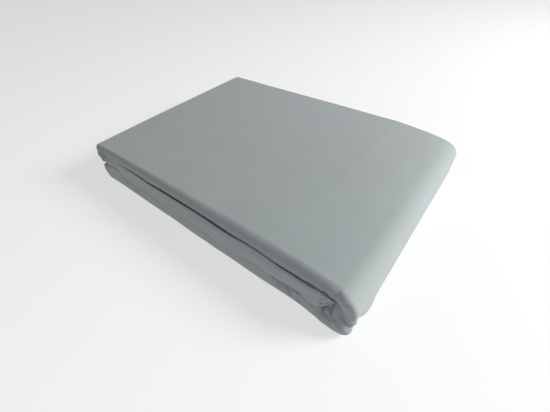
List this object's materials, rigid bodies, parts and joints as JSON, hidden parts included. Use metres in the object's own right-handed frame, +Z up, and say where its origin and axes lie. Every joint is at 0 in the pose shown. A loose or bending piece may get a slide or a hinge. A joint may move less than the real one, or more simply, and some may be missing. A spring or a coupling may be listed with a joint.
{
  "type": "folded flat sheet",
  "caption": "Plain cotton bed sheet folded into a flat pack, its plies rolled over along the front and wrapped round one end.",
  "frame": {"origin": "under the middle of the pack, on the surface it lies on", "axes": "+X along the pack towards the end that the cloth wraps round, -Y towards the long side that shows the rolled folds, +Z up"},
  "size_m": [0.3806, 0.2708, 0.0573],
  "materials": {
    "cotton": "matt plain-weave cotton, light grey with a slight cool green cast"
  },
  "bodies": {
    "root": {"sheet": "cotton"}
  },
  "joints": []
}
